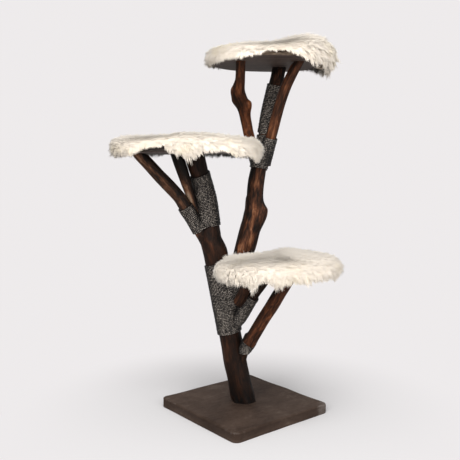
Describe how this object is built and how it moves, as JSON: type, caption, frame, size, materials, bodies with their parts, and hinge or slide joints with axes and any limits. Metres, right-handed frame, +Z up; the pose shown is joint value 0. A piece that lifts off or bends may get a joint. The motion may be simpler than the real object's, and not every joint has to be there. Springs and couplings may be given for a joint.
{
  "type": "cat tree",
  "caption": "Cat tree of branching dark-stained natural wood with rope-wound joints on a square wooden base, carrying boards topped with lift-off long-haired white fleeces.",
  "frame": {"origin": "centre of the base plate's underside, on the floor", "axes": "+Z up; +X and +Y along the sides of the square base plate; the limbs spread in a plane turned 39 degrees clockwise from X, seen from above"},
  "size_m": [0.8163, 0.783, 1.486],
  "materials": {
    "base_wood": "dark stained, matte, softly rounded edges",
    "branch_wood": "peeled and dark stained, worn to red-brown in places, satin",
    "peeled_branch": "peeled, lightly stained, satin",
    "board_wood": "dark stained sawn board with a live edge, matte",
    "rope": "charcoal sisal rope, wound tight, fibres catch the light",
    "fleece": "long white hair with a faint cream tint",
    "zinc_steel": "zinc plated",
    "tape": "black hook-and-loop tape"
  },
  "bodies": {
    "root": {"base_plate": "base_wood", "base_bolts": "zinc_steel", "base_washers": "zinc_steel", "trunk": "branch_wood", "second_stem": "branch_wood", "left_outer_strut": "branch_wood", "left_inner_strut": "peeled_branch", "top_left_branch": "branch_wood", "top_right_branch": "branch_wood", "stump": "branch_wood", "low_long_strut": "branch_wood", "low_short_strut": "branch_wood", "low_branch": "branch_wood", "fork_rope": "rope", "low_branch_rope": "rope", "stump_rope": "rope", "left_stem_rope": "rope", "left_strut_rope": "rope", "crown_rope": "rope", "post_rope": "rope", "low_board": "board_wood", "left_board": "board_wood", "top_board": "board_wood", "low_board_screws": "zinc_steel", "left_board_screws": "zinc_steel", "top_board_screws": "zinc_steel", "fork_screws": "zinc_steel", "left_strut_screws": "zinc_steel", "crown_screws": "zinc_steel", "low_strut_screws": "zinc_steel", "low_hook_tape": "tape", "left_hook_tape": "tape", "top_hook_tape": "tape"},
    "low_fleece": {"low_fleece": "fleece", "low_loop_tape": "tape"},
    "left_fleece": {"left_fleece": "fleece", "left_loop_tape": "tape"},
    "top_fleece": {"top_fleece": "fleece", "top_loop_tape": "tape"}
  },
  "joints": [
    {"name": "low_fleece_lift", "type": "slide", "parent": "root", "child": "low_fleece", "axis": [0, 0, 1], "range_m": [0, 0.06]},
    {"name": "left_fleece_lift", "type": "slide", "parent": "root", "child": "left_fleece", "axis": [0, 0, 1], "range_m": [0, 0.06]},
    {"name": "top_fleece_lift", "type": "slide", "parent": "root", "child": "top_fleece", "axis": [0, 0, 1], "range_m": [0, 0.06]}
  ]
}
